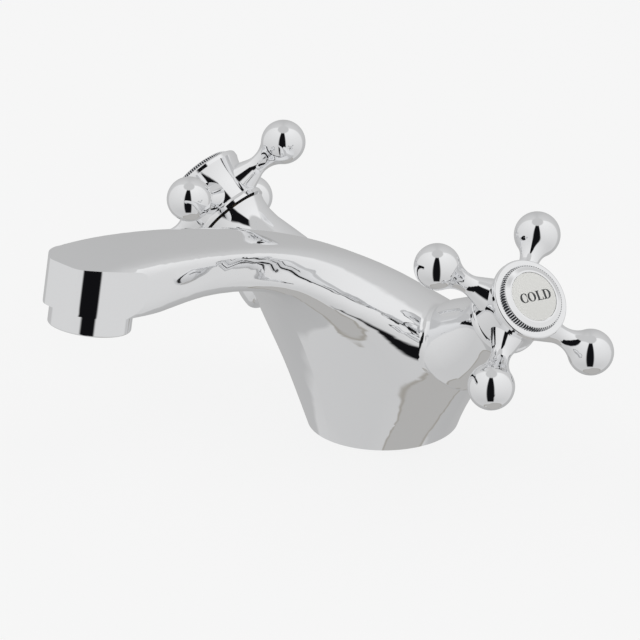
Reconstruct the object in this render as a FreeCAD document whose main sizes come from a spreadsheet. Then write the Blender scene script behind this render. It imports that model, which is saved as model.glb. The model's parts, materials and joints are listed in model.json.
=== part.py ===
import FreeCAD, Part
import Sketcher
import math
import os
import re

Vector = FreeCAD.Vector
Rotation = FreeCAD.Rotation
Placement = FreeCAD.Placement

# Twin cross-handle basin mixer tap, millimetres, +Z up.  The origin is the centre of the
# base where it meets the basin deck, the spout reaches towards -Y, the cold valve is on
# the +X side and the hot valve on the -X side.  Heights along a valve are measured
# outwards from the point where the arms of its handle cross.

doc = FreeCAD.newDocument("cross_handle_tap")
sheet = doc.addObject("Spreadsheet::Sheet", "sizes")

DRIVING = [
    # nose of the spout
    ("spout_reach", 138.0), ("nose_top", 96.0), ("nose_tilt", 11.0),
    ("nose_depth", 14.2), ("nose_back", 41.0), ("nose_spread", 33.0),
    # valve axis: where the arms of a handle cross it, and its lean
    ("cross_x", 66.57), ("cross_y", -9.88), ("cross_z", 62.51),
    ("valve_rise", 39.78), ("valve_plan_lean", 7.16),
    # valve arm of the casting, a bell that widens away from the handle
    ("arm_end", -7.8), ("arm_end_radius", 11.4), ("arm_waist", -16.0),
    ("arm_waist_radius", 11.0), ("arm_flare", -27.5), ("arm_flare_radius", 14.2),
    ("arm_root", -37.0), ("arm_root_radius", 14.9), ("arm_root_round", 3.0),
    ("arm_blend", 2.4), ("arm_seam_slack", 2.0),
    # bores and waterways
    ("valve_bore_radius", 7.3), ("valve_seat", -41.0), ("seat_chamber_radius", 4.2),
    ("seat_chamber_depth", 6.0), ("inlet_radius", 5.0), ("inlet_offset", 9.0),
    ("inlet_back", 4.0), ("inlet_depth", 11.0), ("feed_radius", 3.0),
    ("gallery_radius", 3.4), ("gallery_start", -34.0), ("gallery_meet_out", 28.0),
    ("gallery_meet_up", 60.0), ("waterway_radius", 4.8), ("waterway_rise_out", 55.0),
    ("waterway_rise_up", 70.5), ("waterway_neck_back", 53.0), ("waterway_neck_drop", 17.0),
    ("waterway_fall_back", 26.0), ("waterway_fall_drop", 12.5), ("stud_radius", 4.0),
    ("stud_front", 9.0), ("stud_depth", 14.0), ("base_recess_radius", 17.0),
    ("base_recess_depth", 5.0), ("seal_circle", 21.0), ("seal_radius", 1.3),
    # aerator, heights upwards from the flat under the nose
    ("aerator_back", 11.0), ("aerator_radius", 12.8), ("aerator_foot", -6.2),
    ("aerator_edge", 0.5), ("aerator_thread_radius", 11.0), ("aerator_thread", 5.0),
    ("aerator_bore", 9.6), ("aerator_lip_radius", 8.4), ("aerator_lip", 1.4),
    ("gasket_inner", 7.5), ("gasket_height", 1.6), ("insert_height", 6.4),
    ("insert_hole", 1.7), ("insert_circle", 5.9),
    # cross handle
    ("skirt_end", -7.0), ("skirt_radius", 12.1), ("skirt_band", 0.8),
    ("waist_start", -4.8), ("waist_radius", 11.5), ("waist_end", 1.0),
    ("flange_foot", 8.3), ("flange_radius", 13.1), ("flange_rim", 9.5),
    ("hub_top", 10.0), ("hub_top_radius", 12.6), ("hub_sweep", 18.0),
    ("skirt_sweep", 1.6), ("flange_sweep", 0.6), ("arm_start", 5.0),
    ("arm_start_radius", 7.6), ("flare_round", 6.46), ("neck_radius", 3.1),
    ("neck_distance", 17.96), ("ball_blend", 9.0), ("arm_reach", 29.02),
    ("ball_radius", 7.39), ("cup_radius", 10.0), ("cup_floor", -1.5),
    ("boss_top", 3.2), ("screw_way", 2.15), ("plug_floor", 5.6),
    ("plug_bore", 7.5), ("cut_margin", 1.0), ("cold_turn", 41.1), ("hot_turn", 30.6),
    # index ring and disc
    ("plug_radius", 7.4), ("plug_inner", 6.4), ("plug_foot", 5.8), ("ring_radius", 10.3),
    ("ring_edge", 0.4), ("ring_shoulder", 11.6), ("crown_radius", 8.7),
    ("crown_top", 12.0), ("disc_seat", 10.6), ("disc_radius", 8.0), ("disc_rim", 11.9),
    ("disc_top", 12.15), ("disc_dome", 128.125),
    # handle screw
    ("screw_radius", 1.95), ("screw_end", -5.0), ("screw_head_radius", 3.6),
    ("screw_head", 2.2), ("socket_radius", 1.7), ("socket_depth", 1.4),
    # ceramic headwork
    ("washer_height", 0.8), ("washer_radius", 9.0), ("hex_corner_radius", 9.24),
    ("hex_height", 3.6), ("gland_radius", 6.0), ("gland_height", 1.0),
    ("nose_end", -39.5), ("nose_radius", 6.5), ("thread_foot", -20.0),
    ("chamber_radius", 5.3), ("chamber_roof", -30.0), ("window_height", -34.4),
    ("window_radius", 2.2), ("seal_top", -38.5), ("seal_foot_radius", 6.9),
    ("ceramic_radius", 5.2), ("ceramic_face", -36.0), ("driver_foot", -33.6),
    ("port_radius", 1.3), ("port_circle", 2.7), ("driver_radius", 5.1),
    ("driver_height", 3.0), ("spindle_radius", 4.0), ("spline_radius", 3.9),
    ("spindle_top", 3.0), ("screw_bore", 2.0), ("screw_bore_end", -6.5),
    ("oring_low", -18.5), ("oring_high", -14.0), ("oring_floor", 2.95),
    ("oring_half_width", 0.7), ("oring_section", 0.54), ("clip_foot", -2.3),
    ("clip_height", 0.6), ("clip_groove", 3.4), ("clip_radius", 5.0), ("clip_gap", 1.0),
    # clearances
    ("running_gap", 0.05), ("seat_gap", 0.1),
]

# The skin of the casting runs through these sections, from the base to beyond the nose:
# ridge (forward, up), keel (forward, up), half width, half width of the column between
# the wings that carry the valve arms, squareness above and below.
STATION_COLUMNS = (
    "ridge_out", "ridge_up", "keel_out", "keel_up", "half_width", "column_width",
    "square_above", "square_below")
STATIONS = [
    (-25.0, 0.0, 25.0, 0.0, 25.0, 25.0, 2.0, 2.0),
    (-25.3, 11.0, 27.2, 10.0, 31.2, 29.8, 2.1, 2.0),
    (-26.4, 22.0, 30.3, 20.0, 38.3, 32.7, 2.3, 2.0),
    (-26.2, 31.0, 33.5, 29.0, 44.2, 35.2, 2.4, 2.0),
    (-21.5, 38.8, 37.5, 38.5, 44.3, 36.4, 2.4, 2.0),
    (-11.0, 46.9, 42.5, 47.8, 38.2, 34.9, 2.4, 2.0),
    (2.0, 56.2, 49.5, 56.5, 30.4, 30.4, 2.5, 2.1),
    (17.0, 65.2, 58.0, 63.3, 23.2, 23.2, 2.8, 2.2),
    (36.0, 74.0, 69.0, 68.3, 17.8, 17.8, 3.8, 2.25),
    (60.0, 82.4, 84.0, 71.7, 14.9, 14.9, 6.0, 2.35),
    (84.0, 88.5, 97.0, 73.2, 15.0, 15.0, 8.0, 2.5),
    (110.0, 93.5, 113.0, 74.0, 16.0, 16.0, 8.0, 3.0),
    (132.0, 95.7, 134.0, 74.4, 16.1, 16.1, 8.0, 3.0),
    (154.0, 97.2, 156.0, 74.6, 16.1, 16.1, 8.0, 3.0),
]
WING_SHARPNESS = 4
SECTION_POINTS = 48
RINGS_PER_STATION = 3

# The front of the nose in plan: half width, and how far behind the tip.
NOSE_COLUMNS = ("plan_width", "plan_back")
NOSE_PLAN = [
    (3.0, 0.04), (5.5, 0.2), (7.0, 0.7), (9.6, 2.6), (11.9, 4.96), (13.2, 7.1),
    (14.25, 9.4), (15.3, 14.0), (16.0, 19.5),
]

for row, (alias, number) in enumerate(DRIVING, start=1):
    sheet.set("A%d" % row, alias)
    sheet.set("B%d" % row, str(number))
    sheet.setAlias("B%d" % row, alias)

TABLES = (("DEFGHIJK", STATION_COLUMNS, STATIONS), ("MN", NOSE_COLUMNS, NOSE_PLAN))
for columns, titles, table in TABLES:
    for row, numbers in enumerate(table, start=1):
        for column, title, number in zip(columns, titles, numbers):
            sheet.set("%s%d" % (column, row), str(number))
            sheet.setAlias("%s%d" % (column, row), "%s_%d" % (title, row))
doc.recompute()


def size(alias):
    """A driving dimension, read back from the sheet."""
    return float(getattr(sheet, alias))


def value(text):
    """What a sum of aliases comes to, such as "arm_end + washer_height"."""
    total = 0.0
    sign = 1.0
    for word in text.split():
        if word in ("+", "-"):
            sign = 1.0 if word == "+" else -1.0
        elif word != "0":
            total += sign * size(word)
    return total


def named(text):
    """The same sum as an expression on the sheet."""
    return re.sub(r"[a-z_]+", lambda word: "sizes." + word.group(), text)


# ---------------------------------------------------------------- frames

def valve_axis(side):
    """Unit vector of a valve, outwards: +1 is cold, -1 is hot."""
    rise = math.radians(size("valve_rise"))
    lean = math.radians(size("valve_plan_lean"))
    return Vector(side * math.cos(rise) * math.cos(lean),
                  -math.cos(rise) * math.sin(lean),
                  math.sin(rise))


def valve_point(side, height):
    """The point of a valve axis at a height along it."""
    crossing = Vector(side * size("cross_x"), size("cross_y"), size("cross_z"))
    return crossing + valve_axis(side) * height


def valve_placement(side, turn=0.0):
    """Frame of a valve: origin where the handle arms cross, local Z outwards."""
    axis = valve_axis(side)
    across = Vector(0, 1, 0) - axis * axis.y
    across.normalize()
    upright = Rotation(across, axis.cross(across), axis, "ZXY")
    return Placement(valve_point(side, 0), upright * Rotation(Vector(0, 0, 1), turn))


def nose_axis():
    """The way the water leaves: down, and forward by the tilt of the nose."""
    tilt = math.radians(size("nose_tilt"))
    return Vector(0, -math.sin(tilt), -math.cos(tilt))


def nose_seat():
    """Centre of the flat under the nose, where the aerator meets the casting."""
    tilt = math.radians(size("nose_tilt"))
    back = size("aerator_back")
    drop = size("nose_depth") + (back + size("nose_depth") * math.tan(tilt)) * math.tan(tilt)
    return Vector(0, back - size("spout_reach"), size("nose_top") - drop)


def aerator_placement():
    """Frame of the aerator: origin on the flat under the nose, local Z up the thread."""
    up = nose_axis() * -1
    right = Vector(1, 0, 0)
    return Placement(nose_seat(), Rotation(right, up.cross(right), up, "ZXY"))


# ---------------------------------------------------------------- sketch helpers

def new_body(name):
    body = doc.addObject("PartDesign::Body", name)
    body.Label = name
    return body


def new_sketch(body, name, role, lift="0"):
    """A sketch on one of the body's own planes, lifted along the plane's normal."""
    sketch = body.newObject("Sketcher::SketchObject", name)
    plane = [feature for feature in body.Origin.OriginFeatures if feature.Role == role][0]
    sketch.AttachmentSupport = (plane, "")
    sketch.MapMode = "FlatFace"
    if lift != "0":
        sketch.setExpression(".AttachmentOffset.Base.z", named(lift))
    return sketch


def measure(sketch, kind, places, text):
    """A driving dimension of a sketch, bound to the sheet."""
    index = sketch.addConstraint(Sketcher.Constraint(kind, *places, abs(value(text)) or 1.0))
    sketch.setExpression("Constraints[%d]" % index, named(text))


def pin_point(sketch, edge, end, across, up):
    """Holds the end of an edge at two sums, or on an axis where a sum is zero."""
    origin, x_axis, y_axis = -1, -1, -2
    for text, axis, kind in ((across, y_axis, "DistanceX"), (up, x_axis, "DistanceY")):
        if text == "0":
            sketch.addConstraint(Sketcher.Constraint("PointOnObject", edge, end, axis))
        else:
            place = Sketcher.Constraint(kind, origin, 1, edge, end, value(text))
            index = sketch.addConstraint(place)
            sketch.setExpression("Constraints[%d]" % index, named(text))


def arc_between(start, end, radius, turn):
    """The short arc from start to end; turn +1 is anticlockwise, -1 clockwise."""
    chord = end - start
    reach = math.sqrt(radius ** 2 - (chord.Length / 2) ** 2)
    left = Vector(-chord.y, chord.x, 0)
    left.normalize()
    centre = (start + end) * 0.5 + left * reach * turn
    angles = [math.atan2(point.y - centre.y, point.x - centre.x) for point in (start, end)]
    if turn < 0:
        angles.reverse()
    if angles[1] < angles[0]:
        angles[1] += 2 * math.pi
    return Part.ArcOfCircle(Part.Circle(centre, Vector(0, 0, 1), radius), *angles)


def draw_outline(sketch, outline):
    """A closed outline of corners (radius, height[, arc radius, turn to the next])."""
    count = len(outline)
    corners = [Vector(value(corner[0]), value(corner[1]), 0) for corner in outline]
    ends = []
    for step, corner in enumerate(outline):
        start, end = corners[step], corners[(step + 1) % count]
        if len(corner) > 2:
            sketch.addGeometry(arc_between(start, end, size(corner[2]), corner[3]))
        else:
            sketch.addGeometry(Part.LineSegment(start, end))
        ends.append((2, 1) if len(corner) > 2 and corner[3] < 0 else (1, 2))
    for step in range(count):
        follower = (step + 1) % count
        sketch.addConstraint(Sketcher.Constraint(
            "Coincident", step, ends[step][1], follower, ends[follower][0]))
    for step, corner in enumerate(outline):
        pin_point(sketch, step, ends[step][0], corner[0], corner[1])
        if len(corner) > 2:
            measure(sketch, "Radius", (step,), corner[2])


def turn_outline(body, name, outline, kind="PartDesign::Revolution", axis="V_Axis"):
    """Turns an outline once round, adding metal or cutting it away."""
    sketch = new_sketch(body, name + "_outline", "XZ_Plane")
    draw_outline(sketch, outline)
    turned = body.newObject(kind, name)
    turned.Profile = sketch
    turned.ReferenceAxis = (sketch, [axis])
    turned.Angle = 360
    body.Tip = turned
    doc.recompute()
    return turned


def turned_body(name, outline, placement):
    body = new_body(name)
    turn_outline(body, name + "_turned", outline)
    body.Placement = placement
    return body


def draw_circle(sketch, radius, across="0", up="0"):
    centre = Vector(value(across), value(up), 0)
    edge = sketch.addGeometry(Part.Circle(centre, Vector(0, 0, 1), value(radius)))
    if across == "0" and up == "0":
        sketch.addConstraint(Sketcher.Constraint("Coincident", edge, 3, -1, 1))
    else:
        pin_point(sketch, edge, 3, across, up)
    measure(sketch, "Radius", (edge,), radius)


def draw_hexagon(sketch, corner_radius):
    """A regular hexagon about the origin with one corner on the X axis."""
    radius = value(corner_radius)
    corners = [Vector(radius * math.cos(math.pi * step / 3),
                      radius * math.sin(math.pi * step / 3), 0) for step in range(6)]
    for step in range(6):
        sketch.addGeometry(Part.LineSegment(corners[step], corners[(step + 1) % 6]))
    rim = sketch.addGeometry(Part.Circle(Vector(), Vector(0, 0, 1), radius), True)
    for step in range(6):
        sketch.addConstraint(Sketcher.Constraint("Coincident", step, 2, (step + 1) % 6, 1))
        sketch.addConstraint(Sketcher.Constraint("PointOnObject", step, 1, rim))
    for step in range(1, 6):
        sketch.addConstraint(Sketcher.Constraint("Equal", 0, step))
    sketch.addConstraint(Sketcher.Constraint("Coincident", rim, 3, -1, 1))
    sketch.addConstraint(Sketcher.Constraint("PointOnObject", 0, 1, -1))
    measure(sketch, "Radius", (rim,), corner_radius)


def pad(body, name, sketch, length):
    """Raises a sketch along its normal."""
    raised = body.newObject("PartDesign::Pad", name)
    raised.Profile = sketch
    raised.setExpression("Length", named(length))
    body.Tip = raised
    doc.recompute()
    return raised


def pocket(body, name, sketch, length):
    """Cuts a sketch downwards from its plane."""
    cut = body.newObject("PartDesign::Pocket", name)
    cut.Profile = sketch
    cut.setExpression("Length", named(length))
    body.Tip = cut
    doc.recompute()
    return cut


def pocket_through(body, name, sketch):
    """Cuts a sketch right through to both sides."""
    cut = body.newObject("PartDesign::Pocket", name)
    cut.Profile = sketch
    cut.Type = "ThroughAll"
    cut.Midplane = True
    body.Tip = cut
    doc.recompute()
    return cut


def pattern_round(body, name, features, count):
    """Repeats features evenly about the body's own Z axis."""
    pattern = body.newObject("PartDesign::PolarPattern", name)
    pattern.Originals = features
    pattern.Axis = (features[0].Profile[0], ["N_Axis"])
    pattern.Angle = 360
    pattern.Occurrences = count
    body.Tip = pattern
    doc.recompute()
    return pattern


# ---------------------------------------------------------------- casting

def superellipse(turn, squareness):
    """Point of a unit superellipse: 2 is a circle, more is squarer."""
    across, along = math.cos(turn), math.sin(turn)
    reach = (abs(across) ** squareness + abs(along) ** squareness) ** (-1.0 / squareness)
    return reach * across, reach * along


def guide(points, marks):
    """A smooth line through one value of every station."""
    line = Part.BSplineCurve()
    line.interpolate(Points=points, Parameters=marks)
    return line


def station_guides():
    """Ridge, keel, and width with squareness, as lines along the casting."""
    rows = [{title: size("%s_%d" % (title, row)) for title in STATION_COLUMNS}
            for row in range(1, len(STATIONS) + 1)]
    ridge = [Vector(0, -row["ridge_out"], row["ridge_up"]) for row in rows]
    keel = [Vector(0, -row["keel_out"], row["keel_up"]) for row in rows]
    marks = [0.0]
    for step in range(1, len(rows)):
        march = (ridge[step] + keel[step] - ridge[step - 1] - keel[step - 1]) * 0.5
        marks.append(marks[-1] + march.Length)
    girth = [Vector(row["half_width"], mark, row["column_width"])
             for row, mark in zip(rows, marks)]
    hardness = [Vector(row["square_above"], row["square_below"], mark)
                for row, mark in zip(rows, marks)]
    return [guide(line, marks) for line in (ridge, keel, girth, hardness)], marks


def skin_ring(top, bottom, girth, above, below):
    """One section of the skin, begun and ended under the keel: a column with wings."""
    centre = (top + bottom) * 0.5
    up = (top - bottom) * 0.5
    ring = []
    for step in range(SECTION_POINTS + 1):
        turn = 2 * math.pi * step / SECTION_POINTS - math.pi / 2
        squareness = above if math.sin(turn) > 0 else below
        across, along = superellipse(turn, squareness)
        wing = (girth.x - girth.z) * abs(across) ** WING_SHARPNESS
        ring.append(centre + Vector((girth.z + wing) * across, 0, 0) + up * along)
    return ring


def skin_solid():
    """Trunk and spout as one smooth skin with flat ends."""
    (ridge, keel, girth, hardness), marks = station_guides()
    rings = []
    for step in range(len(marks) - 1):
        for part in range(RINGS_PER_STATION):
            mark = marks[step] + (marks[step + 1] - marks[step]) * part / RINGS_PER_STATION
            square = hardness.value(mark)
            rings.append(skin_ring(ridge.value(mark), keel.value(mark),
                                   girth.value(mark), square.x, square.y))
    surface = Part.BSplineSurface()
    surface.interpolate(rings)
    first, last = surface.bounds()[0], surface.bounds()[1]
    caps = [Part.Face(Part.Wire([surface.uIso(place).toShape()])) for place in (first, last)]
    shell = Part.makeShell([surface.toShape()] + caps)
    shell.sewShape()
    solid = Part.makeSolid(Part.Shell(shell.Faces))
    if solid.Volume < 0:
        solid.reverse()
    return solid


def nose_envelope():
    """All that the nose may fill: its front in plan, square to the way of the water."""
    down = nose_axis()
    tilt = math.radians(size("nose_tilt"))
    back = Vector(0, math.cos(tilt), -math.sin(tilt))
    front = Vector(0, -size("spout_reach"), size("nose_top"))
    flank = [Vector(size("plan_width_%d" % row), 0, 0) + back * size("plan_back_%d" % row)
             for row in range(1, len(NOSE_PLAN) + 1)]
    mirrored = [Vector(-point.x, point.y, point.z) for point in reversed(flank)]
    points = [front + point for point in mirrored + [Vector()] + flank]
    rim = Part.BSplineCurve()
    rim.interpolate(points)
    tail = back * 2 * size("spout_reach")
    spread = Vector(size("nose_spread"), 0, 0)
    corners = [points[-1], points[-1] + tail + spread, points[0] + tail - spread, points[0]]
    sides = [Part.makeLine(start, end) for start, end in zip(corners, corners[1:])]
    plan = Part.Face(Part.Wire([rim.toShape()] + sides))
    rise = 2 * size("nose_depth")
    plan.translate(down * -rise)
    return plan.extrude(down * (rise + size("nose_depth")))


def trunk_envelope():
    """All that the casting may fill behind the nose."""
    reach = 2 * size("spout_reach")
    return Part.makeBox(reach, reach, reach, Vector(
        -reach / 2, size("nose_back") - size("spout_reach"), -reach / 2))


def valve_arm(side):
    """Bell of the casting that carries a valve."""
    root, root_radius = size("arm_root"), size("arm_root_radius")
    corner = size("arm_root_round")
    bell = Part.BSplineCurve()
    bell.interpolate([
        Vector(root_radius, 0, root + corner),
        Vector(size("arm_flare_radius"), 0, size("arm_flare")),
        Vector(size("arm_waist_radius"), 0, size("arm_waist")),
        Vector(size("arm_end_radius"), 0, size("arm_end"))])
    slant = corner * (1 - math.sqrt(0.5))
    heel = Part.Arc(Vector(root_radius - corner, 0, root),
                    Vector(root_radius - slant, 0, root + slant),
                    Vector(root_radius, 0, root + corner))
    foot = Vector(0, 0, root)
    top = Vector(0, 0, size("arm_end"))
    profile = Part.Wire([
        Part.makeLine(foot, heel.StartPoint), heel.toShape(), bell.toShape(),
        Part.makeLine(bell.EndPoint, top), Part.makeLine(top, foot)])
    arm = Part.Face(profile).revolve(Vector(0, 0, 0), Vector(0, 0, 1), 360)
    if arm.Volume < 0:
        arm.reverse()
    arm.Placement = valve_placement(side)
    return arm


def arm_seams(metal):
    """Edges where the valve arms grow out of the trunk."""
    slack = size("arm_seam_slack")
    seams = []
    for edge in metal.Edges:
        middle = edge.valueAt((edge.FirstParameter + edge.LastParameter) / 2)
        side = 1 if middle.x > 0 else -1
        height = (middle - valve_point(side, 0)).dot(valve_axis(side))
        reach = (middle - valve_point(side, height)).Length
        beside = size("arm_waist_radius") - slack < reach < size("arm_root_radius") + slack
        low = size("arm_root") - slack < height < size("arm_waist")
        if beside and low and edge.Length > slack:
            seams.append(edge)
    return seams


def casting_metal():
    """Trunk, spout, nose and valve arms as one blank, before boring."""
    blank = skin_solid().common(nose_envelope().fuse(trunk_envelope()))
    blank = blank.fuse([valve_arm(1), valve_arm(-1)]).Solids[0]
    feature = doc.addObject("Part::Feature", "casting_blank")
    feature.Shape = blank.makeFillet(size("arm_blend"), arm_seams(blank))
    return feature


def core(name, start, end, radius):
    """A round passage from one point to another."""
    way = end - start
    tool = doc.addObject("Part::Cylinder", name)
    tool.setExpression("Radius", named(radius))
    tool.Height = way.Length
    tool.Placement = Placement(start, Rotation(Vector(0, 0, 1), way))
    return tool


def bend_ball(name, centre, radius):
    """Rounds the bend where two passages of one size meet."""
    ball = doc.addObject("Part::Sphere", name)
    ball.setExpression("Radius", named(radius))
    ball.Placement.Base = centre
    return ball


def valve_cores(prefix, side):
    """Bore, seat chamber, feed and mixing gallery of one valve."""
    seat = valve_point(side, size("valve_seat"))
    mouth = valve_point(side, size("arm_end") + size("cut_margin"))
    chamber = valve_point(side, size("valve_seat") - size("seat_chamber_depth"))
    inlet_foot = Vector(side * size("inlet_offset"), size("inlet_back"), 0)
    inlet_top = inlet_foot + Vector(0, 0, size("base_recess_depth") + size("inlet_depth"))
    feed_foot = inlet_top - Vector(0, 0, size("feed_radius"))
    meeting = Vector(0, -size("gallery_meet_out"), size("gallery_meet_up"))
    start = valve_point(side, size("gallery_start"))
    return [
        core(prefix + "_bore", seat, mouth, "valve_bore_radius"),
        core(prefix + "_seat_chamber", chamber, seat, "seat_chamber_radius"),
        core(prefix + "_inlet", inlet_foot, inlet_top, "inlet_radius"),
        core(prefix + "_feed", feed_foot, chamber, "feed_radius"),
        bend_ball(prefix + "_feed_bend", chamber, "feed_radius"),
        core(prefix + "_gallery", start, meeting, "gallery_radius"),
    ]


def waterway_cores():
    """The way of the mixed water from the galleries to the aerator."""
    tip = Vector(0, -size("spout_reach"), size("nose_top"))
    stops = [
        Vector(0, -size("gallery_meet_out"), size("gallery_meet_up")),
        Vector(0, -size("waterway_rise_out"), size("waterway_rise_up")),
        tip + Vector(0, size("waterway_neck_back"), -size("waterway_neck_drop")),
        tip + Vector(0, size("waterway_fall_back"), -size("waterway_fall_drop")),
        nose_seat() - nose_axis() * (size("aerator_thread") - size("aerator_edge")),
    ]
    tools = []
    for step in range(len(stops) - 1):
        tools.append(core("waterway_%d" % step, stops[step], stops[step + 1],
                          "waterway_radius"))
        tools.append(bend_ball("waterway_bend_%d" % step, stops[step], "waterway_radius"))
    depth = size("aerator_thread") + size("gasket_height")
    top = nose_seat() - nose_axis() * depth
    foot = nose_seat() + nose_axis() * size("cut_margin")
    tools.append(core("aerator_seat", foot, top, "aerator_thread_radius + seat_gap"))
    return tools


def base_cores():
    """Recess and stud hole under the base."""
    recess = Vector(0, 0, size("base_recess_depth"))
    stud_foot = Vector(0, -size("stud_front"), 0)
    stud_top = stud_foot + recess + Vector(0, 0, size("stud_depth"))
    return [
        core("base_recess", Vector(0, 0, 0), recess, "base_recess_radius"),
        core("stud_hole", stud_foot, stud_top, "stud_radius"),
    ]


def seal_groove():
    """Square groove under the base, as deep as the seal is thick."""
    outer = doc.addObject("Part::Cylinder", "groove_outer")
    outer.setExpression("Radius", named("seal_circle + seal_radius"))
    inner = doc.addObject("Part::Cylinder", "groove_inner")
    inner.setExpression("Radius", named("seal_circle - seal_radius"))
    for tool in (outer, inner):
        tool.setExpression("Height", named("seal_radius + seal_radius"))
    ring = doc.addObject("Part::Cut", "seal_groove")
    ring.Base = outer
    ring.Tool = inner
    return ring


def body_casting():
    """The one-piece brass casting: trunk, spout and both valve arms."""
    cores = base_cores() + [seal_groove()] + waterway_cores()
    cores += valve_cores("hot", -1) + valve_cores("cold", 1)
    tree = doc.addObject("Part::MultiFuse", "casting_cores")
    tree.Shapes = cores
    casting = doc.addObject("Part::Cut", "body_casting")
    casting.Base = casting_metal()
    casting.Tool = tree
    doc.recompute()
    return casting


# ---------------------------------------------------------------- base and aerator

def base_seal():
    seal = doc.addObject("Part::Torus", "base_seal")
    seal.setExpression("Radius1", named("seal_circle"))
    seal.setExpression("Radius2", named("seal_radius"))
    seal.setExpression("Placement.Base.z", named("seal_radius"))
    return seal


def aerator_housing():
    return turned_body("aerator_housing", [
        ("aerator_lip_radius", "aerator_foot"),
        ("aerator_radius - aerator_edge", "aerator_foot", "aerator_edge", 1),
        ("aerator_radius", "aerator_foot + aerator_edge"),
        ("aerator_radius", "0"),
        ("aerator_thread_radius", "0"),
        ("aerator_thread_radius", "aerator_thread"),
        ("aerator_bore", "aerator_thread"),
        ("aerator_bore", "aerator_foot + aerator_lip"),
        ("aerator_lip_radius", "aerator_foot + aerator_lip"),
    ], aerator_placement())


def aerator_insert():
    """Stream straightener: a plug with a ring of through holes round a middle one."""
    body = new_body("aerator_insert")
    disc = new_sketch(body, "insert_disc", "XY_Plane", "aerator_foot + aerator_lip")
    draw_circle(disc, "aerator_bore - seat_gap")
    draw_circle(disc, "insert_hole")
    pad(body, "insert_plug", disc, "insert_height")
    hole = new_sketch(body, "insert_hole_plan", "XY_Plane")
    draw_circle(hole, "insert_hole", "insert_circle")
    cut = pocket_through(body, "insert_first_hole", hole)
    pattern_round(body, "insert_holes", [cut], 6)
    body.Placement = aerator_placement()
    return body


def aerator_gasket():
    return turned_body("aerator_gasket", [
        ("gasket_inner", "aerator_thread"),
        ("aerator_thread_radius - seat_gap", "aerator_thread"),
        ("aerator_thread_radius - seat_gap", "aerator_thread + gasket_height"),
        ("gasket_inner", "aerator_thread + gasket_height"),
    ], aerator_placement())


# ---------------------------------------------------------------- headwork

def valve_body(prefix, side):
    """Brass headwork body: nose, thread, hexagon and gland, with two side windows."""
    name = prefix + "_valve_body"
    body = new_body(name)
    bore = "spindle_radius + running_gap"
    hex_seat = "arm_end + washer_height"
    gland_top = hex_seat + " + hex_height + gland_height"
    turn_outline(body, name + "_turned", [
        ("chamber_radius", "nose_end"),
        ("nose_radius", "nose_end"),
        ("nose_radius", "thread_foot"),
        ("valve_bore_radius - seat_gap", "thread_foot"),
        ("valve_bore_radius - seat_gap", hex_seat),
        ("gland_radius", hex_seat),
        ("gland_radius", gland_top),
        (bore, gland_top),
        (bore, "chamber_roof"),
        ("chamber_radius", "chamber_roof"),
    ])
    plan = new_sketch(body, name + "_hex_plan", "XY_Plane", hex_seat)
    draw_hexagon(plan, "hex_corner_radius")
    draw_circle(plan, bore)
    pad(body, name + "_hex", plan, "hex_height")
    window = new_sketch(body, name + "_window_plan", "XZ_Plane")
    draw_circle(window, "window_radius", "0", "window_height")
    pocket_through(body, name + "_windows", window)
    body.Placement = valve_placement(side)
    return body


def valve_washer(prefix, side):
    return turned_body(prefix + "_valve_washer", [
        ("valve_bore_radius", "arm_end"),
        ("washer_radius", "arm_end"),
        ("washer_radius", "arm_end + washer_height"),
        ("valve_bore_radius", "arm_end + washer_height"),
    ], valve_placement(side))


def seat_seal(prefix, side):
    return turned_body(prefix + "_seat_seal", [
        ("seat_chamber_radius", "valve_seat"),
        ("seal_foot_radius", "valve_seat"),
        ("seal_foot_radius", "nose_end"),
        ("ceramic_radius", "nose_end"),
        ("ceramic_radius", "seal_top"),
        ("seat_chamber_radius", "seal_top"),
    ], valve_placement(side))


def ceramic_disc(name, side, foot, height, turn):
    """A lapped disc with two ports; turned a quarter, it closes the other one."""
    body = new_body(name)
    plan = new_sketch(body, name + "_plan", "XY_Plane", foot)
    draw_circle(plan, "ceramic_radius")
    disc = pad(body, name + "_blank", plan, height)
    port = new_sketch(body, name + "_port_plan", "XY_Plane")
    draw_circle(port, "port_radius", "port_circle")
    cut = pocket_through(body, name + "_port", port)
    pattern_round(body, name + "_ports", [cut], 2)
    body.Placement = valve_placement(side, turn)
    return body


def fixed_disc(prefix, side):
    return ceramic_disc(prefix + "_fixed_disc", side, "seal_top",
                        "ceramic_face - seal_top", 0)


def moving_disc(prefix, side):
    return ceramic_disc(prefix + "_moving_disc", side, "ceramic_face + running_gap",
                        "driver_foot - ceramic_face - running_gap", 90)


def spindle(prefix, side):
    """Stem from the driver over the discs up to the splined end in the handle."""
    grooves = []
    for ring in ("oring_low", "oring_high"):
        grooves += [
            ("spindle_radius", ring + " - oring_half_width"),
            ("oring_floor", ring + " - oring_half_width"),
            ("oring_floor", ring + " + oring_half_width"),
            ("spindle_radius", ring + " + oring_half_width"),
        ]
    return turned_body(prefix + "_spindle", [
        ("0", "driver_foot"),
        ("driver_radius", "driver_foot"),
        ("driver_radius", "driver_foot + driver_height"),
        ("spindle_radius", "driver_foot + driver_height"),
    ] + grooves + [
        ("spindle_radius", "clip_foot"),
        ("clip_groove", "clip_foot"),
        ("clip_groove", "clip_foot + clip_height"),
        ("spline_radius", "clip_foot + clip_height"),
        ("spline_radius", "spindle_top"),
        ("screw_bore", "spindle_top"),
        ("screw_bore", "screw_bore_end"),
        ("0", "screw_bore_end"),
    ], valve_placement(side))


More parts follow.
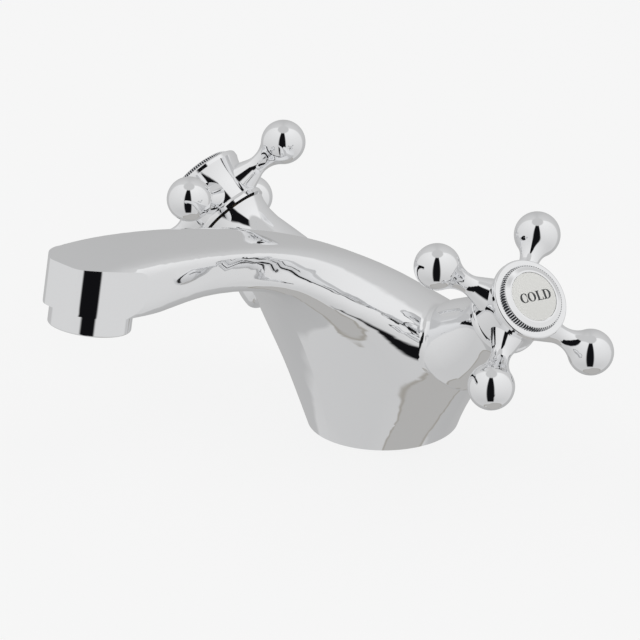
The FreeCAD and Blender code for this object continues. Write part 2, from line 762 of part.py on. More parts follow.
def spindle_orings(prefix, side):
    """Two rubber rings in the grooves of the spindle."""
    rings = []
    for place in ("oring_low", "oring_high"):
        ring = doc.addObject("Part::Torus", "%s_%s" % (prefix, place))
        ring.setExpression("Radius1", named("oring_floor + oring_section"))
        ring.setExpression("Radius2", named("oring_section"))
        frame = valve_placement(side)
        ring.Placement = Placement(valve_point(side, size(place)), frame.Rotation)
        rings.append(ring)
    pair = doc.addObject("Part::Compound", prefix + "_spindle_orings")
    pair.Links = rings
    return pair


def circlip(prefix, side):
    """Open clip that keeps the spindle from dropping through the gland."""
    name = prefix + "_circlip"
    body = new_body(name)
    turn_outline(body, name + "_turned", [
        ("clip_groove + running_gap", "clip_foot"),
        ("clip_radius", "clip_foot"),
        ("clip_radius", "clip_foot + clip_height"),
        ("clip_groove + running_gap", "clip_foot + clip_height"),
    ])
    mouth = new_sketch(body, name + "_mouth_plan", "XY_Plane")
    draw_outline(mouth, [
        ("0", "0"), ("clip_radius + cut_margin", "0"),
        ("clip_radius + cut_margin", "clip_gap"), ("0", "clip_gap")])
    pocket_through(body, name + "_mouth", mouth)
    body.Placement = valve_placement(side)
    return body


# ---------------------------------------------------------------- cross handle

def draw_ball_arm(sketch):
    """Half outline of an arm: flare out of the hub, slim neck, ball at the end."""
    start, top = size("arm_start"), size("arm_start_radius")
    neck = Vector(size("neck_distance"), size("neck_radius"), 0)
    flare_round, blend = size("flare_round"), size("ball_blend")
    flare_centre = neck + Vector(0, flare_round, 0)
    blend_centre = neck + Vector(0, blend, 0)
    ball_centre = Vector(size("arm_reach"), 0, 0)
    lean = math.atan2(blend_centre.y - ball_centre.y, blend_centre.x - ball_centre.x)
    lip = Vector(flare_centre.x - flare_round * 0.92, flare_centre.y - flare_round * 0.4, 0)
    normal = Vector(0, 0, 1)
    tip = Vector(size("arm_reach") + size("ball_radius"), 0, 0)
    lip_turn = math.atan2(lip.y - flare_centre.y, lip.x - flare_centre.x) + 2 * math.pi
    circles = [Part.Circle(flare_centre, normal, flare_round),
               Part.Circle(blend_centre, normal, blend),
               Part.Circle(ball_centre, normal, size("ball_radius"))]
    sketch.addGeometry([
        Part.LineSegment(Vector(start, 0, 0), Vector(start, top, 0)),
        Part.LineSegment(Vector(start, top, 0), lip),
        Part.ArcOfCircle(circles[0], lip_turn, 1.5 * math.pi),
        Part.ArcOfCircle(circles[1], 1.5 * math.pi, lean + math.pi),
        Part.ArcOfCircle(circles[2], 0, lean),
        Part.LineSegment(tip, Vector(start, 0, 0)),
    ])


def hold_ball_arm(sketch):
    """Ties the arm outline together and to the sheet."""
    inner, slope, flare, blend, ball, middle = range(6)
    x_axis = -1
    for words in (
            ("Coincident", inner, 2, slope, 1), ("Tangent", slope, 2, flare, 1),
            ("Tangent", flare, 2, blend, 1), ("Tangent", blend, 2, ball, 2),
            ("Coincident", ball, 1, middle, 1), ("Coincident", middle, 2, inner, 1),
            ("PointOnObject", middle, 1, x_axis), ("PointOnObject", middle, 2, x_axis),
            ("PointOnObject", ball, 3, x_axis), ("Vertical", inner),
            ("Vertical", blend, 3, blend, 1)):
        sketch.addConstraint(Sketcher.Constraint(*words))
    measure(sketch, "Radius", (flare,), "flare_round")
    measure(sketch, "Radius", (blend,), "ball_blend")
    measure(sketch, "Radius", (ball,), "ball_radius")
    measure(sketch, "DistanceX", (-1, 1, ball, 3), "arm_reach")
    measure(sketch, "DistanceY", (-1, 1, blend, 1), "neck_radius")
    measure(sketch, "DistanceX", (-1, 1, inner, 1), "arm_start")
    measure(sketch, "DistanceY", (-1, 1, inner, 2), "arm_start_radius")


def handle(prefix, side):
    """Hub with four ball-ended arms, hollow under the skirt and under the index."""
    name = prefix + "_handle"
    body = new_body(name)
    turn_outline(body, name + "_hub", [
        ("0", "skirt_end"),
        ("skirt_radius", "skirt_end"),
        ("skirt_radius", "skirt_end + skirt_band", "skirt_sweep", 1),
        ("waist_radius", "waist_start"),
        ("waist_radius", "waist_end", "hub_sweep", -1),
        ("flange_radius", "flange_foot"),
        ("flange_radius", "flange_rim", "flange_sweep", 1),
        ("hub_top_radius", "hub_top"),
        ("0", "hub_top"),
    ])
    sketch = new_sketch(body, name + "_arm_outline", "XZ_Plane")
    draw_ball_arm(sketch)
    hold_ball_arm(sketch)
    arm = body.newObject("PartDesign::Revolution", name + "_arm")
    arm.Profile = sketch
    arm.ReferenceAxis = (sketch, ["H_Axis"])
    arm.Angle = 360
    body.Tip = arm
    doc.recompute()
    pattern = body.newObject("PartDesign::PolarPattern", name + "_arms")
    pattern.Originals = [arm]
    pattern.Axis = (sketch, ["V_Axis"])
    pattern.Angle = 360
    pattern.Occurrences = 4
    body.Tip = pattern
    doc.recompute()
    turn_outline(body, name + "_hollow", [
        ("0", "skirt_end - cut_margin"),
        ("cup_radius", "skirt_end - cut_margin"),
        ("cup_radius", "cup_floor"),
        ("spline_radius + running_gap", "cup_floor"),
        ("spline_radius + running_gap", "boss_top"),
        ("screw_way", "boss_top"),
        ("screw_way", "plug_floor"),
        ("plug_bore", "plug_floor"),
        ("plug_bore", "hub_top + cut_margin"),
        ("0", "hub_top + cut_margin"),
    ], kind="PartDesign::Groove")
    body.Placement = valve_placement(side, size(prefix + "_turn"))
    return body


def handle_screw(prefix, side):
    """Socket-head screw through the hub into the spindle."""
    name = prefix + "_handle_screw"
    body = new_body(name)
    turn_outline(body, name + "_turned", [
        ("0", "screw_end"),
        ("screw_radius", "screw_end"),
        ("screw_radius", "plug_floor"),
        ("screw_head_radius", "plug_floor"),
        ("screw_head_radius", "plug_floor + screw_head"),
        ("0", "plug_floor + screw_head"),
    ])
    socket = new_sketch(body, name + "_socket_plan", "XY_Plane", "plug_floor + screw_head")
    draw_hexagon(socket, "socket_radius")
    pocket(body, name + "_socket", socket, "socket_depth")
    body.Placement = valve_placement(side)
    return body


def index_ring(prefix, side):
    """Bezel pressed into the hub, holding the index disc."""
    return turned_body(prefix + "_index_ring", [
        ("plug_inner", "plug_foot"),
        ("plug_radius", "plug_foot"),
        ("plug_radius", "hub_top"),
        ("ring_radius", "hub_top"),
        ("ring_radius", "ring_shoulder - ring_edge", "ring_edge", 1),
        ("ring_radius - ring_edge", "ring_shoulder"),
        ("crown_radius", "crown_top"),
        ("disc_radius + seat_gap", "crown_top"),
        ("disc_radius + seat_gap", "disc_seat"),
        ("plug_inner", "disc_seat"),
    ], valve_placement(side))


def index_disc(prefix, side):
    """Slightly domed white disc that names the water."""
    return turned_body(prefix + "_index_disc", [
        ("0", "disc_seat"),
        ("disc_radius", "disc_seat"),
        ("disc_radius", "disc_rim", "disc_dome", 1),
        ("0", "disc_top"),
    ], valve_placement(side))


# ---------------------------------------------------------------- build and export

def whole_tap():
    nodes = [body_casting(), base_seal(), aerator_housing(), aerator_insert(),
             aerator_gasket()]
    for prefix, side in (("hot", -1), ("cold", 1)):
        for make in (valve_body, valve_washer, seat_seal, fixed_disc, moving_disc, spindle,
                     spindle_orings, circlip, handle, handle_screw, index_ring, index_disc):
            nodes.append(make(prefix, side))
    doc.recompute()
    return nodes


def check(nodes):
    """Stops the build where an object failed or a sub-part is not a sound solid."""
    for thing in doc.Objects:
        if "Invalid" in thing.State or "Error" in thing.State:
            raise RuntimeError("%s: %s" % (thing.Label, thing.State))
    for node in nodes:
        if node.Shape.isNull() or not node.Shape.isValid() or node.Shape.Volume <= 0:
            raise RuntimeError("%s has no sound shape" % node.Label)


tap_nodes = whole_tap()
check(tap_nodes)
os.makedirs("parts", exist_ok=True)
for tap_node in tap_nodes:
    tap_node.Shape.exportStep("parts/%s.step" % tap_node.Label)
    print(tap_node.Label, round(tap_node.Shape.Volume, 1), len(tap_node.Shape.Solids))
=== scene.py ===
import bmesh
import bpy
import json
import math
from mathutils import Matrix, Vector


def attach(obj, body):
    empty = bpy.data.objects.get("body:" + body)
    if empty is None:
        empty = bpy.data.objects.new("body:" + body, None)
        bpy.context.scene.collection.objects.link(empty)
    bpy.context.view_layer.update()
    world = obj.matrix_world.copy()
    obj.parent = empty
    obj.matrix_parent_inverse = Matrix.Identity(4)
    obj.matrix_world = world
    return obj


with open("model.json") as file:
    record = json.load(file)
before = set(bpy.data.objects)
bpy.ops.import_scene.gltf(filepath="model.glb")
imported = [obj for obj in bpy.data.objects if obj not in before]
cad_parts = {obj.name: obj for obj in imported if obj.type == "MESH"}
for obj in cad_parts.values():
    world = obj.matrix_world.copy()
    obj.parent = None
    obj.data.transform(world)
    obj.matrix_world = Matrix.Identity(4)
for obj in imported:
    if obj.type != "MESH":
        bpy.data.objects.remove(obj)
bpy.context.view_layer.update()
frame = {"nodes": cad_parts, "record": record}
nodes = frame["nodes"]

MM = 0.001

# ---------------------------------------------------------------- camera

CAMERA_RIGHT = Vector((0.70584, 0.70837, 0.0))
CAMERA_UP = Vector((-0.28275, 0.28175, 0.91688))
CAMERA_BACK = Vector((0.64949, -0.64717, 0.39916))
CAMERA_TARGET = Vector((-29.4846, 0.0, 26.3507)) * MM
CAMERA_DISTANCE = 1336.06 * MM
LENS_LENGTH = 225.44
SENSOR_WIDTH = 36.0
NEAR_CLIP = 0.05


def place_camera():
    """The photograph's viewpoint: a long lens, a little above the nose."""
    lens = bpy.data.cameras.new("photo_lens")
    lens.lens = LENS_LENGTH
    lens.sensor_width = SENSOR_WIDTH
    lens.clip_start = NEAR_CLIP
    camera = bpy.data.objects.new("photo_camera", lens)
    turn = Matrix((CAMERA_RIGHT, CAMERA_UP, CAMERA_BACK)).transposed().to_4x4()
    spot = CAMERA_TARGET + CAMERA_BACK * CAMERA_DISTANCE
    camera.matrix_world = Matrix.Translation(spot) @ turn
    bpy.context.scene.collection.objects.link(camera)
    bpy.context.scene.camera = camera


# ---------------------------------------------------------------- shader helpers

def new_material(name):
    """A node material; returns it with its tree and its main shader."""
    material = bpy.data.materials.new(name)
    material.use_nodes = True
    tree = material.node_tree
    shader = tree.nodes["Principled BSDF"]
    return material, tree, shader


def add_node(tree, kind, **settings):
    """A node of one kind, with its settings."""
    node = tree.nodes.new(kind)
    for key, setting in settings.items():
        setattr(node, key, setting)
    return node


def add_math(tree, operation, first, second=None):
    """A math node fed by sockets or plain numbers; returns its output."""
    node = add_node(tree, "ShaderNodeMath", operation=operation)
    for socket, given in zip(node.inputs, (first, second)):
        if given is None:
            continue
        if isinstance(given, bpy.types.NodeSocket):
            tree.links.new(given, socket)
        else:
            socket.default_value = given
    return node.outputs[0]


def add_ramp(tree, source, stops):
    """A straight ramp over (place, grey) stops; returns its colour."""
    ramp = add_node(tree, "ShaderNodeValToRGB")
    elements = ramp.color_ramp.elements
    while len(elements) < len(stops):
        elements.new(0.5)
    for element, (place, grey) in zip(elements, stops):
        element.position = place
        element.color = (grey, grey, grey, 1.0)
    tree.links.new(source, ramp.inputs["Fac"])
    return ramp.outputs["Color"]


def new_group(name, inputs, outputs):
    """A shader node group with named float or colour sockets."""
    group = bpy.data.node_groups.new(name, "ShaderNodeTree")
    for direction, sockets in (("INPUT", inputs), ("OUTPUT", outputs)):
        for title, kind in sockets:
            group.interface.new_socket(title, in_out=direction,
                                       socket_type="NodeSocket" + kind)
    entry = group.nodes.new("NodeGroupInput")
    exit_node = group.nodes.new("NodeGroupOutput")
    return group, entry, exit_node


def use_group(tree, group, **given):
    """A group node; underscores in the given names stand for spaces."""
    node = add_node(tree, "ShaderNodeGroup", node_tree=group)
    for title, number in given.items():
        node.inputs[title.replace("_", " ")].default_value = number
    return node


# ---------------------------------------------------------------- shared effects

def polish_group():
    """Faint uneven haze of polished plating."""
    group, entry, exit_node = new_group(
        "polish", [("Haze Scale", "Float"), ("Haze Low", "Float"), ("Haze High", "Float")],
        [("Roughness", "Float")])
    place = add_node(group, "ShaderNodeTexCoord")
    haze = add_node(group, "ShaderNodeTexNoise", noise_dimensions="3D")
    haze.inputs["Detail"].default_value = 3.0
    group.links.new(place.outputs["Object"], haze.inputs["Vector"])
    group.links.new(entry.outputs["Haze Scale"], haze.inputs["Scale"])
    spread = add_node(group, "ShaderNodeMapRange")
    spread.inputs["From Min"].default_value = 0.35
    spread.inputs["From Max"].default_value = 0.65
    group.links.new(haze.outputs["Fac"], spread.inputs["Value"])
    group.links.new(entry.outputs["Haze Low"], spread.inputs["To Min"])
    group.links.new(entry.outputs["Haze High"], spread.inputs["To Max"])
    group.links.new(spread.outputs["Result"], exit_node.inputs["Roughness"])
    return group


def mottle_group():
    """Slow change between two close colours, as on cast, moulded or fired surfaces."""
    group, entry, exit_node = new_group(
        "mottle", [("Grain Scale", "Float"), ("Light", "Color"), ("Deep", "Color")],
        [("Color", "Color"), ("Height", "Float")])
    place = add_node(group, "ShaderNodeTexCoord")
    grain = add_node(group, "ShaderNodeTexNoise", noise_dimensions="3D")
    grain.inputs["Detail"].default_value = 6.0
    group.links.new(place.outputs["Object"], grain.inputs["Vector"])
    group.links.new(entry.outputs["Grain Scale"], grain.inputs["Scale"])
    blend = add_node(group, "ShaderNodeMix", data_type="RGBA")
    group.links.new(grain.outputs["Fac"], blend.inputs["Factor"])
    group.links.new(entry.outputs["Deep"], blend.inputs["A"])
    group.links.new(entry.outputs["Light"], blend.inputs["B"])
    group.links.new(blend.outputs["Result"], exit_node.inputs["Color"])
    group.links.new(grain.outputs["Fac"], exit_node.inputs["Height"])
    return group


POLISH = polish_group()
MOTTLE = mottle_group()


# ---------------------------------------------------------------- finishes

def chrome_finish():
    """Bright chromium plate over polished brass."""
    material, tree, shader = new_material("bright_chrome")
    shader.inputs["Metallic"].default_value = 1.0
    shader.inputs["Base Color"].default_value = (0.90, 0.905, 0.915, 1.0)
    polish = use_group(tree, POLISH, Haze_Scale=90.0, Haze_Low=0.025, Haze_High=0.05)
    tree.links.new(polish.outputs["Roughness"], shader.inputs["Roughness"])
    return material


def mottled_finish(name, light, deep, scale, roughness, metallic=0.0, bump=0.0, coat=0.0):
    """A finish that wanders between a light and a deep tone."""
    material, tree, shader = new_material(name)
    shader.inputs["Metallic"].default_value = metallic
    shader.inputs["Roughness"].default_value = roughness
    shader.inputs["Coat Weight"].default_value = coat
    shader.inputs["Coat Roughness"].default_value = 0.04
    mottle = use_group(tree, MOTTLE, Grain_Scale=scale, Light=(*light, 1.0),
                       Deep=(*deep, 1.0))
    tree.links.new(mottle.outputs["Color"], shader.inputs["Base Color"])
    if bump:
        relief = add_node(tree, "ShaderNodeBump")
        relief.inputs["Strength"].default_value = bump
        relief.inputs["Distance"].default_value = 0.0001
        tree.links.new(mottle.outputs["Height"], relief.inputs["Height"])
        tree.links.new(relief.outputs["Normal"], shader.inputs["Normal"])
    return material


CHROME = chrome_finish()
FINISHES = {
    "chrome": CHROME,
    "plain_brass": mottled_finish("turned_brass", (0.80, 0.62, 0.30), (0.62, 0.45, 0.20),
                                  300.0, 0.3, metallic=1.0, bump=0.2),
    "spring_steel": mottled_finish("spring_steel", (0.50, 0.51, 0.53), (0.34, 0.35, 0.37),
                                   400.0, 0.35, metallic=1.0, bump=0.2),
    "white_ceramic": mottled_finish("lapped_ceramic", (0.84, 0.84, 0.81),
                                    (0.76, 0.76, 0.73), 500.0, 0.25),
    "index_white": mottled_finish("white_enamel", (0.90, 0.90, 0.87), (0.86, 0.86, 0.83),
                                  120.0, 0.4, coat=0.3),
    "white_plastic": mottled_finish("moulded_plastic", (0.72, 0.72, 0.70),
                                    (0.62, 0.62, 0.60), 700.0, 0.5, bump=0.3),
    "black_rubber": mottled_finish("black_rubber", (0.05, 0.05, 0.052),
                                   (0.02, 0.02, 0.022), 900.0, 0.7, bump=0.5),
}


def dress_nodes():
    """Every carried-over node takes the finish of its own slot."""
    slots = {entry["node"]: entry["material_slot"] for entry in frame["record"]["subparts"]}
    for name, node in nodes.items():
        for place in node.material_slots:
            place.material = FINISHES[slots[name]]


# ---------------------------------------------------------------- index words and knurls

VALVE_CROSSING = Vector((66.57, -9.88, 62.51))
VALVE_RISE = math.radians(39.78)
VALVE_LEAN = math.radians(7.16)
DISC_CROWN = 12.15
DISC_DOME = 128.125
CAP_HEIGHT = 3.0
STEM = 0.72
HAIRLINE = 0.2
SERIF = 0.3
LETTER_GAP = 0.22
BOWL_SEGMENTS = 48
C_BOWL = 3.0
C_CUT = 2.35
C_WIDTH = 2.45
C_BEAK_LOW = 0.3
C_BEAK = 0.7
O_WIDTH = 2.9
L_WIDTH = 2.3
L_BEAK = 0.85
D_ARM = 1.45
D_BOWL = 3.0
D_CENTRE = 1.35
D_CUT = 1.4
D_WIDTH = 2.85
H_RIGHT = 2.1
H_WIDTH = 3.02
T_LEFT = 1.0
T_BEAK = 0.8
T_WIDTH = 2.62
INK = 0.1
INK_PROUD = 0.02
WORD_TURN = -9.0
WORD_SIZE = 1.05
WORD_SHIFT = 0.5
TEETH = 80
BAND_FOOT = Vector((10.75, 0.0, 10.04))
BAND_HEAD = Vector((10.38, 0.0, 11.40))
PAINTED_GROOVE_SHADE_DEPTH = 0.08
PAINTED_GROOVE_SHADE_STEPS = 120
RIB_FOOT = 0.28
RIB_HEAD = 0.26
RIB_SLIM = 0.62
RIB_SIDES = 8


def valve_frame(side):
    """Local X towards the back, Z outwards along the valve, as the part's source has it."""
    axis = Vector((side * math.cos(VALVE_RISE) * math.cos(VALVE_LEAN),
                   -math.cos(VALVE_RISE) * math.sin(VALVE_LEAN), math.sin(VALVE_RISE)))
    across = Vector((0.0, 1.0, 0.0)) - axis * axis.y
    across.normalize()
    turn = Matrix((across, axis.cross(across), axis)).transposed().to_4x4()
    spot = Vector((side * VALVE_CROSSING.x, VALVE_CROSSING.y, VALVE_CROSSING.z))
    return Matrix.Scale(MM, 4) @ Matrix.Translation(spot) @ turn


def stroke(shape, left, right, low, high):
    """A straight stroke of a letter."""
    middle = Vector(((left + right) / 2, (low + high) / 2, 0.0))
    scale = Matrix.Diagonal((right - left, high - low, INK, 1.0))
    bmesh.ops.create_cube(shape, size=1.0, matrix=Matrix.Translation(middle) @ scale)


def bowl(shape, middle, width, keep=None):
    """A round stroke, thick at its sides; keep is (place, +1 right or -1 left of it)."""
    ring = bmesh.new()
    for broad, tall in ((width, CAP_HEIGHT), (width - 2 * STEM, CAP_HEIGHT - 2 * HAIRLINE)):
        place = Matrix.Translation((middle, CAP_HEIGHT / 2, -INK / 2))
        bmesh.ops.create_circle(ring, segments=BOWL_SEGMENTS, radius=0.5,
                                matrix=place @ Matrix.Diagonal((broad, tall, 1.0, 1.0)))
    bmesh.ops.bridge_loops(ring, edges=ring.edges[:])
    if keep:
        place, side = keep
        bmesh.ops.bisect_plane(ring, geom=ring.verts[:] + ring.edges[:] + ring.faces[:],
                               plane_co=(place, 0.0, 0.0), plane_no=(-side, 0.0, 0.0),
                               clear_outer=True)
    raised = bmesh.ops.extrude_face_region(ring, geom=ring.faces[:])["geom"]
    tops = [part for part in raised if isinstance(part, bmesh.types.BMVert)]
    bmesh.ops.translate(ring, verts=tops, vec=(0.0, 0.0, INK))
    mesh = bpy.data.meshes.new("bowl")
    ring.to_mesh(mesh)
    ring.free()
    shape.from_mesh(mesh)
    bpy.data.meshes.remove(mesh)


def stem_with_serifs(shape, left):
    """An upright with short hairlines at head and foot."""
    stroke(shape, left, left + STEM, 0.0, CAP_HEIGHT)
    for low in (0.0, CAP_HEIGHT - HAIRLINE):
        stroke(shape, left - SERIF, left + STEM + SERIF, low, low + HAIRLINE)


def letter_c(shape, left):
    """Draws a C at left and returns its width, as the next letters do."""
    bowl(shape, left + C_BOWL / 2, C_BOWL, keep=(left + C_CUT, -1))
    for low in (C_BEAK_LOW, CAP_HEIGHT - C_BEAK_LOW - C_BEAK):
        stroke(shape, left + C_WIDTH - HAIRLINE, left + C_WIDTH, low, low + C_BEAK)
    return C_WIDTH


def letter_o(shape, left):
    bowl(shape, left + O_WIDTH / 2, O_WIDTH)
    return O_WIDTH


def letter_l(shape, left):
    stem_with_serifs(shape, left + SERIF)
    stroke(shape, left + SERIF, left + L_WIDTH, 0.0, HAIRLINE)
    stroke(shape, left + L_WIDTH - HAIRLINE, left + L_WIDTH, 0.0, L_BEAK)
    return L_WIDTH


def letter_d(shape, left):
    stroke(shape, left + SERIF, left + SERIF + STEM, 0.0, CAP_HEIGHT)
    for low in (0.0, CAP_HEIGHT - HAIRLINE):
        stroke(shape, left, left + D_ARM, low, low + HAIRLINE)
    bowl(shape, left + D_CENTRE, D_BOWL, keep=(left + D_CUT, 1))
    return D_WIDTH


def letter_h(shape, left):
    for place in (left + SERIF, left + H_RIGHT):
        stem_with_serifs(shape, place)
    stroke(shape, left + SERIF, left + H_RIGHT, CAP_HEIGHT / 2, CAP_HEIGHT / 2 + HAIRLINE)
    return H_WIDTH


def letter_t(shape, left):
    stem_with_serifs(shape, left + T_LEFT)
    stroke(shape, left, left + T_WIDTH, CAP_HEIGHT - HAIRLINE, CAP_HEIGHT)
    for place in (left, left + T_WIDTH - HAIRLINE):
        stroke(shape, place, place + HAIRLINE, CAP_HEIGHT - T_BEAK, CAP_HEIGHT)
    return T_WIDTH


def finish_piece(name, shape, material, body, matrix):
    """Places a piece drawn in a valve's own frame, dresses it and lets it ride."""
    bmesh.ops.recalc_face_normals(shape, faces=shape.faces[:])
    bmesh.ops.transform(shape, matrix=matrix, verts=shape.verts[:])
    mesh = bpy.data.meshes.new(name)
    shape.to_mesh(mesh)
    shape.free()
    mesh.materials.append(material)
    piece = bpy.data.objects.new(name, mesh)
    bpy.context.scene.collection.objects.link(piece)
    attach(piece, body)


def index_word(name, letters, side, body, turn):
    """A functional word printed on the dome of an index disc."""
    shape = bmesh.new()
    reach = 0.0
    for letter in letters:
        reach += letter(shape, reach) + LETTER_GAP
    middle = Matrix.Translation(((LETTER_GAP - reach) / 2, -CAP_HEIGHT / 2, 0.0))
    grown = Matrix.Diagonal((WORD_SIZE, WORD_SIZE, 1.0, 1.0))
    turned = Matrix.Rotation(math.radians(turn), 4, "Z")
    turned = turned @ Matrix.Translation((WORD_SHIFT, 0.0, 0.0)) @ grown
    bmesh.ops.transform(shape, matrix=turned @ middle, verts=shape.verts[:])
    for corner in shape.verts:
        fall = (corner.co.x ** 2 + corner.co.y ** 2) / (2 * DISC_DOME)
        corner.co.z += DISC_CROWN - fall + INK_PROUD - INK / 2
    finish_piece(name, shape, PRINT, body, valve_frame(side))


def knurled_band(name, side, body):
    """Fine upright ribs round the wall of an index ring, over a dark band of painted shade
    where the grooves' shadow falls.
    """
    middle = (BAND_FOOT + BAND_HEAD) / 2
    rise = BAND_HEAD - BAND_FOOT
    tilt = Matrix.Rotation(math.atan2(rise.x, rise.z), 4, "Y")
    # The dark band under the ribs is painted shade: it stands in for the shadow deep in the
    # knurl's grooves.
    groove_shade_band = bmesh.new()
    flat = Matrix.Rotation(math.pi / 2, 4, "X")
    section = Matrix.Diagonal((PAINTED_GROOVE_SHADE_DEPTH, 1.0, rise.length / 2, 1.0))
    bmesh.ops.create_circle(groove_shade_band, segments=4, radius=1.0,
                            matrix=Matrix.Translation(middle) @ tilt @ section @ flat)
    bmesh.ops.spin(groove_shade_band, geom=groove_shade_band.verts[:] + groove_shade_band.edges[:], cent=(0.0, 0.0, 0.0),
                   axis=(0.0, 0.0, 1.0), dvec=(0.0, 0.0, 0.0), angle=2 * math.pi,
                   steps=PAINTED_GROOVE_SHADE_STEPS, use_merge=True, use_duplicate=False)
    finish_piece(name + "_painted_groove_shade", groove_shade_band, PAINTED_GROOVE_SHADE, body, valve_frame(side))
    ribs = bmesh.new()
    slim = Matrix.Diagonal((1.0, RIB_SLIM, 1.0, 1.0))
    bmesh.ops.create_cone(ribs, cap_ends=True, segments=RIB_SIDES, radius1=RIB_FOOT,
                          radius2=RIB_HEAD, depth=rise.length,
                          matrix=Matrix.Translation(middle) @ tilt @ slim)
    bmesh.ops.spin(ribs, geom=ribs.verts[:] + ribs.edges[:] + ribs.faces[:],
                   cent=(0.0, 0.0, 0.0), axis=(0.0, 0.0, 1.0), dvec=(0.0, 0.0, 0.0),
                   angle=2 * math.pi * (TEETH - 1) / TEETH, steps=TEETH - 1,
                   use_merge=False, use_duplicate=True)
    finish_piece(name, ribs, CHROME, body, valve_frame(side))


# Painted shade for the knurl grooves: a near-black colour standing in for the shadow
# between the ribs, not the plating's own colour.
PAINTED_GROOVE_SHADE = mottled_finish("knurl_groove_painted_shade", (0.045, 0.05, 0.06), (0.02, 0.022, 0.03), 700.0,
                        0.35, metallic=0.6)
PRINT = mottled_finish("dark_grey_print", (0.050, 0.055, 0.058), (0.035, 0.038, 0.040),
                       800.0, 0.55)


def dress_handles():
    """Words on both index discs and ribs round both index rings."""
    index_word("cold_word", (letter_c, letter_o, letter_l, letter_d), 1, "cold_turning",
               WORD_TURN)
    index_word("hot_word", (letter_h, letter_o, letter_t), -1, "hot_turning",
               180.0 - WORD_TURN)
    knurled_band("cold_knurling", 1, "cold_turning")
    knurled_band("hot_knurling", -1, "hot_turning")


# ---------------------------------------------------------------- stage and light

# Bearings and heights are in degrees; an edge is where a change begins and ends.
FRONT_BEARING = 45.0
WALL_STOPS = ((0.0, 0.54), (0.060, 0.60), (0.140, 0.63), (0.160, 0.80), (0.400, 0.78),
              (0.50, 0.80), (0.810, 0.86), (0.835, 0.64), (0.940, 0.60), (1.0, 0.54))
FALL_STOPS = ((0.0, 0.78), (0.25, 0.78), (0.5, 0.93), (0.84, 1.08), (1.0, 1.08))
GAP_LEFT = (-28.0, -20.0)
GAP_RIGHT = (10.0, 17.0)
GAP_FOOT = (-57.0, -51.0)
GAP_SHADE = (0.006, 0.006, 0.007, 1.0)
TOP_EDGE = (64.0, 70.0)
TOP_SHADE = (0.60, 0.60, 0.60, 1.0)
TABLE_TURN = (-25.0, 15.0)
TABLE_DROP = 9.0
TABLE_EDGE = (70.0, 74.0)
TABLE_SHADE = (0.470, 0.463, 0.452, 1.0)
SEAM_STRENGTH = 3.2
SEAM_SHADE = (0.33, 0.31, 0.275, 1.0)
PAPER = (0.913, 0.913, 0.913, 1.0)
FLOOR_SIZE = 6.0
FLOOR_SHADE = (0.08, 0.08, 0.08, 1.0)
FLOOR_LIFT = 0.85
LAMP_AIM = Vector((0.0, -0.04, 0.05))
LAMP_SIZE = 0.9
LAMPS = (("left_lamp", Vector((-0.9, -0.9, 1.0)), 6.0),
         ("right_lamp", Vector((1.1, 0.3, 1.1)), 5.0))


def soften(tree, source, low, high):
    """0 below low, 1 above high, smooth between."""
    step = add_node(tree, "ShaderNodeMapRange", interpolation_type="SMOOTHSTEP")
    step.inputs["From Min"].default_value = low
    step.inputs["From Max"].default_value = high
    tree.links.new(source, step.inputs["Value"])
    return step.outputs["Result"]


def mix_shades(tree, factor, first, second, blend="MIX"):
    """A colour mix fed by sockets or plain shades; returns its colour."""
    mix = add_node(tree, "ShaderNodeMix", data_type="RGBA", blend_type=blend)
    for socket, given in ((mix.inputs["Factor"], factor), (mix.inputs["A"], first),
                          (mix.inputs["B"], second)):
        if isinstance(given, bpy.types.NodeSocket):
            tree.links.new(given, socket)
        else:
            socket.default_value = given
    return mix.outputs["Result"]


def tent_bearings(tree):
    """Bearing from the camera's side and height of a direction, both in degrees."""
    place = add_node(tree, "ShaderNodeTexCoord")
    turn = add_node(tree, "ShaderNodeMapping", vector_type="POINT")
    turn.inputs["Rotation"].default_value = (0.0, 0.0, math.radians(FRONT_BEARING))
    tree.links.new(place.outputs["Generated"], turn.inputs["Vector"])
    parts = add_node(tree, "ShaderNodeSeparateXYZ")
    tree.links.new(turn.outputs["Vector"], parts.inputs["Vector"])
    toward, across, rise = parts.outputs
    bearing = add_math(tree, "DEGREES", add_math(tree, "ARCTAN2", across, toward))
    height = add_math(tree, "DEGREES", add_math(tree, "ARCSINE", rise))
    return bearing, height


def tent_walls(tree, bearing, height):
    """Bright side walls, a greyer back, a lighter upper part and a grey top."""
    round_tent = add_math(tree, "DIVIDE", add_math(tree, "ADD", bearing, 180.0), 360.0)
    upright = add_math(tree, "DIVIDE", add_math(tree, "ADD", height, 90.0), 180.0)
    walls = mix_shades(tree, 1.0, add_ramp(tree, round_tent, WALL_STOPS),
                       add_ramp(tree, upright, FALL_STOPS), "MULTIPLY")
    walls = mix_shades(tree, front_gap(tree, bearing, height), walls, GAP_SHADE)
    return mix_shades(tree, soften(tree, height, *TOP_EDGE), walls, TOP_SHADE)


def front_gap(tree, bearing, height):
    """1 inside the dark gap between the tent's front walls, 0 outside."""
    left = soften(tree, bearing, *GAP_LEFT)
    right = soften(tree, bearing, *GAP_RIGHT)
    gap = add_math(tree, "MULTIPLY", left, add_math(tree, "SUBTRACT", 1.0, right))
    return add_math(tree, "MULTIPLY", gap, soften(tree, height, *GAP_FOOT))


def tent_light(tree):
    """The whole tent as the chrome sees it, with the table below and its darker seam."""
    bearing, height = tent_bearings(tree)
    shade = tent_walls(tree, bearing, height)
    drop = add_math(tree, "MULTIPLY", soften(tree, bearing, *TABLE_TURN), TABLE_DROP)
    table = soften(tree, add_math(tree, "SUBTRACT", drop, height), *TABLE_EDGE)
    seam = add_math(tree, "MULTIPLY", table, add_math(tree, "SUBTRACT", 1.0, table))
    shade = mix_shades(tree, table, shade, TABLE_SHADE)
    return mix_shades(tree, add_math(tree, "MULTIPLY", seam, SEAM_STRENGTH), shade,
                      SEAM_SHADE)


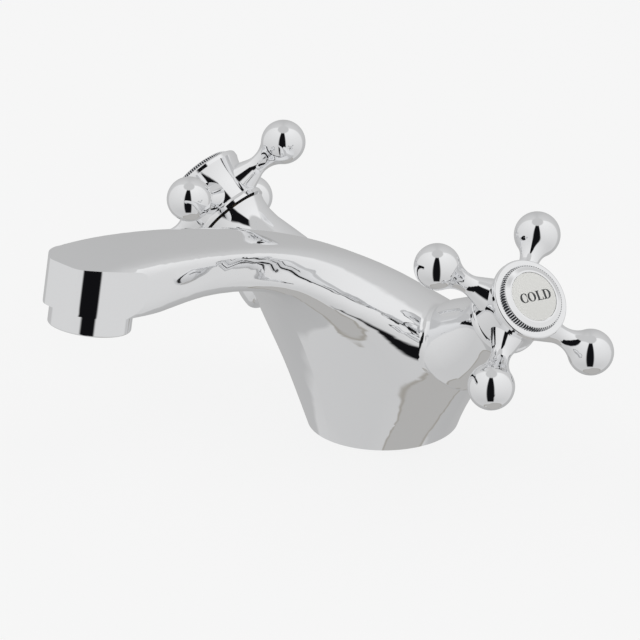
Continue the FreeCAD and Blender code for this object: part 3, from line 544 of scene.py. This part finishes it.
def studio_world():
    """Metal and lamps see the tent; the camera sees plain pale paper."""
    world = bpy.data.worlds.new("tent")
    bpy.context.scene.world = world
    world.use_nodes = True
    tree = world.node_tree
    tree.nodes.clear()
    tent = add_node(tree, "ShaderNodeBackground")
    tree.links.new(tent_light(tree), tent.inputs["Color"])
    pale = add_node(tree, "ShaderNodeBackground")
    pale.inputs["Color"].default_value = PAPER
    path = add_node(tree, "ShaderNodeLightPath")
    mix = add_node(tree, "ShaderNodeMixShader")
    tree.links.new(path.outputs["Is Camera Ray"], mix.inputs["Fac"])
    tree.links.new(tent.outputs["Background"], mix.inputs[1])
    tree.links.new(pale.outputs["Background"], mix.inputs[2])
    sky = add_node(tree, "ShaderNodeOutputWorld")
    tree.links.new(mix.outputs["Shader"], sky.inputs["Surface"])


def pale_floor():
    """Plain pale floor; what the chrome sees of the room is the tent."""
    mesh = bpy.data.meshes.new("floor")
    shape = bmesh.new()
    bmesh.ops.create_grid(shape, x_segments=1, y_segments=1, size=FLOOR_SIZE)
    shape.to_mesh(mesh)
    shape.free()
    floor = bpy.data.objects.new("floor", mesh)
    bpy.context.scene.collection.objects.link(floor)
    material, tree, shader = new_material("pale_paper")
    shader.inputs["Base Color"].default_value = FLOOR_SHADE
    shader.inputs["Roughness"].default_value = 0.9
    shader.inputs["Specular IOR Level"].default_value = 0.0
    path = add_node(tree, "ShaderNodeLightPath")
    lift = add_math(tree, "MULTIPLY", path.outputs["Is Camera Ray"], FLOOR_LIFT)
    shader.inputs["Emission Color"].default_value = (1.0, 1.0, 1.0, 1.0)
    tree.links.new(lift, shader.inputs["Emission Strength"])
    floor.data.materials.append(material)
    floor.visible_glossy = False


def soft_lamps():
    """Two large soft lamps for gentle shadows; the chrome doesn't mirror them."""
    for name, spot, power in LAMPS:
        light = bpy.data.lights.new(name, "AREA")
        light.size = LAMP_SIZE
        light.energy = power
        lamp = bpy.data.objects.new(name, light)
        lamp.location = spot
        lamp.rotation_euler = (LAMP_AIM - spot).to_track_quat("-Z", "Y").to_euler()
        lamp.visible_glossy = False
        bpy.context.scene.collection.objects.link(lamp)


# ---------------------------------------------------------------- whole scene

place_camera()
dress_nodes()
dress_handles()
studio_world()
pale_floor()
soft_lamps()
bpy.context.scene.view_settings.view_transform = "Standard"
